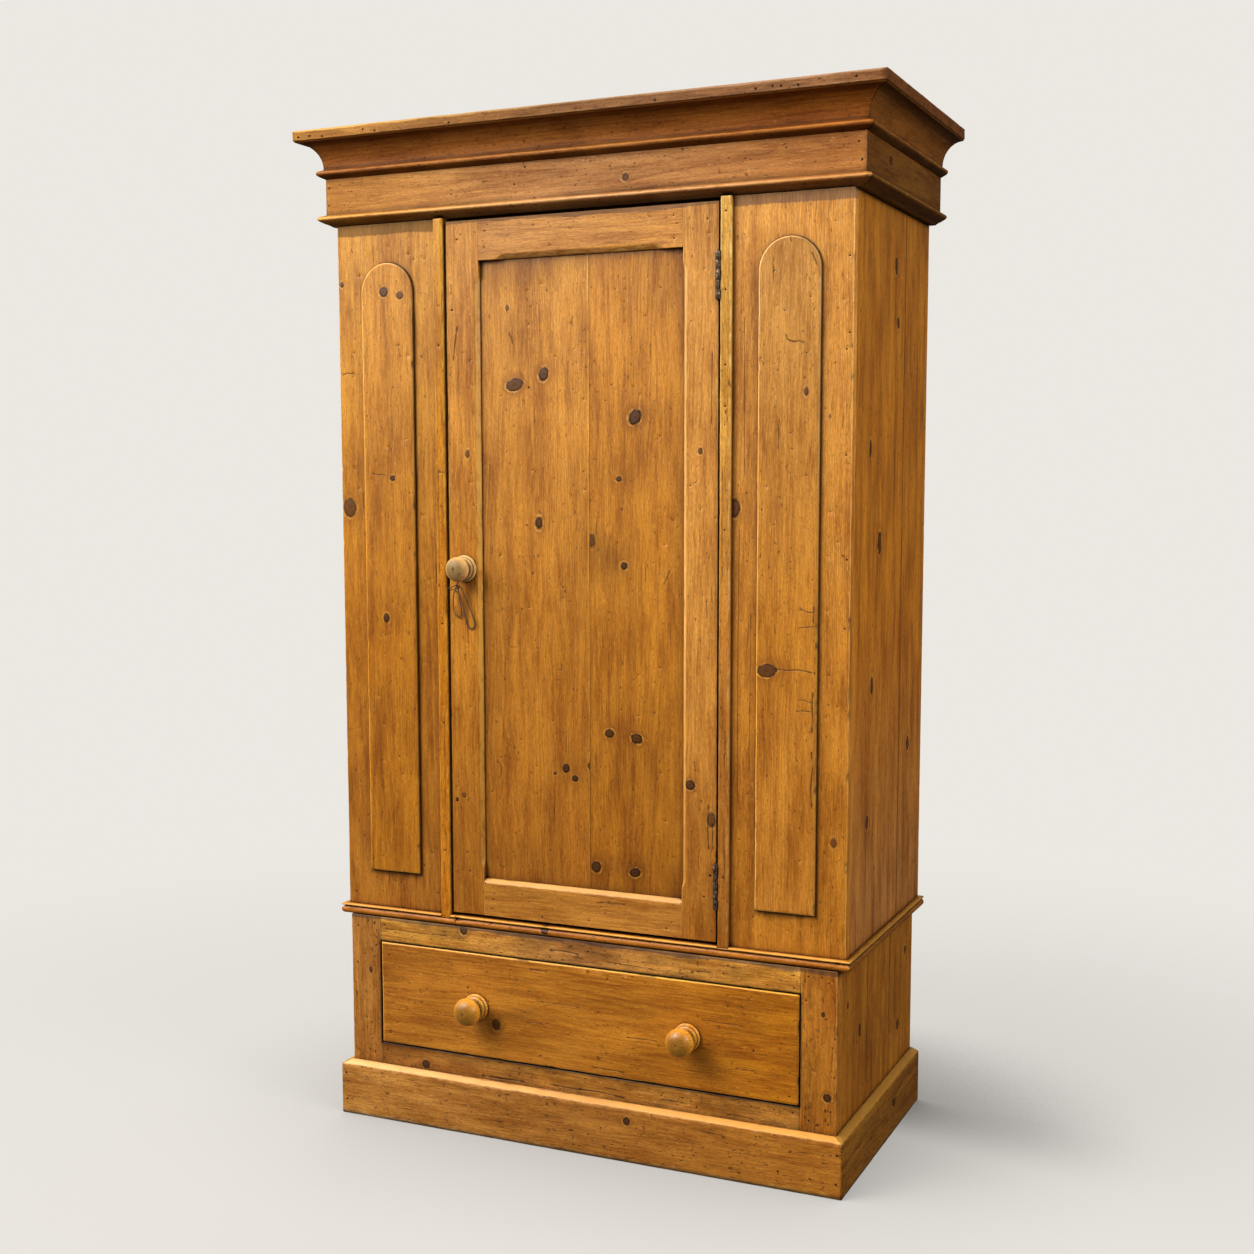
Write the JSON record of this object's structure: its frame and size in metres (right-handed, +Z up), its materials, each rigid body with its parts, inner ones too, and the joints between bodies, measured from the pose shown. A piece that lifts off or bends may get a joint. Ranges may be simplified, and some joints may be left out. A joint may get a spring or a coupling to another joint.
{
  "type": "armoire",
  "caption": "Free-standing waxed-pine armoire: a framed door between arch-topped side panels, a deep drawer below, a stepped cornice with a cove, and a plinth.",
  "frame": {"origin": "centre of the bounding box bottom face, on the floor under the plinth", "axes": "+Z up, the door and the drawer face -Y, +X towards the right when facing the front; the door hangs on its +X edge"},
  "size_m": [1.164, 0.597, 1.95],
  "materials": {
    "pine_waxed": "antique pine, honey-brown, waxed to a soft sheen, with knots, old nail holes and worn edges",
    "pine_cornice": "antique pine, redder brown, waxed",
    "pine_golden": "antique pine, golden yellow, waxed",
    "pine_bare": "old pine, unfinished and dry, greyed with age",
    "pine_turned": "turned pine, polished with wax",
    "iron": "dark iron, dull brown-black patina",
    "twine": "thin twisted twine, dull reddish brown"
  },
  "bodies": {
    "carcase": {"cornice_top_board": "pine_cornice", "cornice_cove_front": "pine_cornice", "cornice_cove_left": "pine_cornice", "cornice_cove_right": "pine_cornice", "frieze_front": "pine_cornice", "frieze_left": "pine_cornice", "frieze_right": "pine_cornice", "side_board_left": "pine_waxed", "side_board_right": "pine_waxed", "front_panel_left": "pine_waxed", "front_panel_right": "pine_waxed", "arched_panel_left": "pine_waxed", "arched_panel_right": "pine_waxed", "base_post_left": "pine_waxed", "base_post_right": "pine_waxed", "base_side_left": "pine_waxed", "base_side_right": "pine_waxed", "base_top_rail": "pine_waxed", "base_lower_rail": "pine_waxed", "plinth_front": "pine_waxed", "plinth_left": "pine_waxed", "plinth_right": "pine_waxed", "door_strip_left": "pine_golden", "door_strip_right": "pine_golden", "waist_moulding_front": "pine_golden", "waist_moulding_front_left": "pine_golden", "waist_moulding_left": "pine_golden", "waist_moulding_right": "pine_golden", "carcase_top": "pine_bare", "carcase_bottom": "pine_bare", "back_board_left": "pine_bare", "back_board_middle": "pine_bare", "back_board_right": "pine_bare", "base_back": "pine_bare", "hanging_rail": "pine_bare", "rail_socket_left": "pine_bare", "rail_socket_right": "pine_bare", "drawer_runner_left": "pine_bare", "drawer_runner_right": "pine_bare", "hinge_lower_frame_leaf": "iron", "hinge_lower_pin": "iron", "hinge_upper_frame_leaf": "iron", "hinge_upper_pin": "iron"},
    "door": {"door_stile_left": "pine_waxed", "door_stile_right": "pine_waxed", "door_rail_top": "pine_waxed", "door_rail_bottom": "pine_waxed", "door_panel_left_board": "pine_waxed", "door_panel_right_board": "pine_waxed", "door_knob": "pine_turned", "hinge_lower_door_leaf": "iron", "hinge_upper_door_leaf": "iron", "knob_twine": "twine"},
    "drawer": {"drawer_front": "pine_waxed", "drawer_side_left": "pine_bare", "drawer_side_right": "pine_bare", "drawer_back": "pine_bare", "drawer_bottom": "pine_bare", "drawer_knob_left": "pine_turned", "drawer_knob_right": "pine_turned"}
  },
  "joints": [
    {"name": "door_hinge", "type": "hinge", "parent": "carcase", "child": "door", "pos_m": [0.2732, -0.23615, 0], "axis": [0, 0, 1], "range_deg": [0, 170]},
    {"name": "drawer_slide", "type": "slide", "parent": "carcase", "child": "drawer", "axis": [0, -1, 0], "range_m": [0, 0.4]}
  ]
}
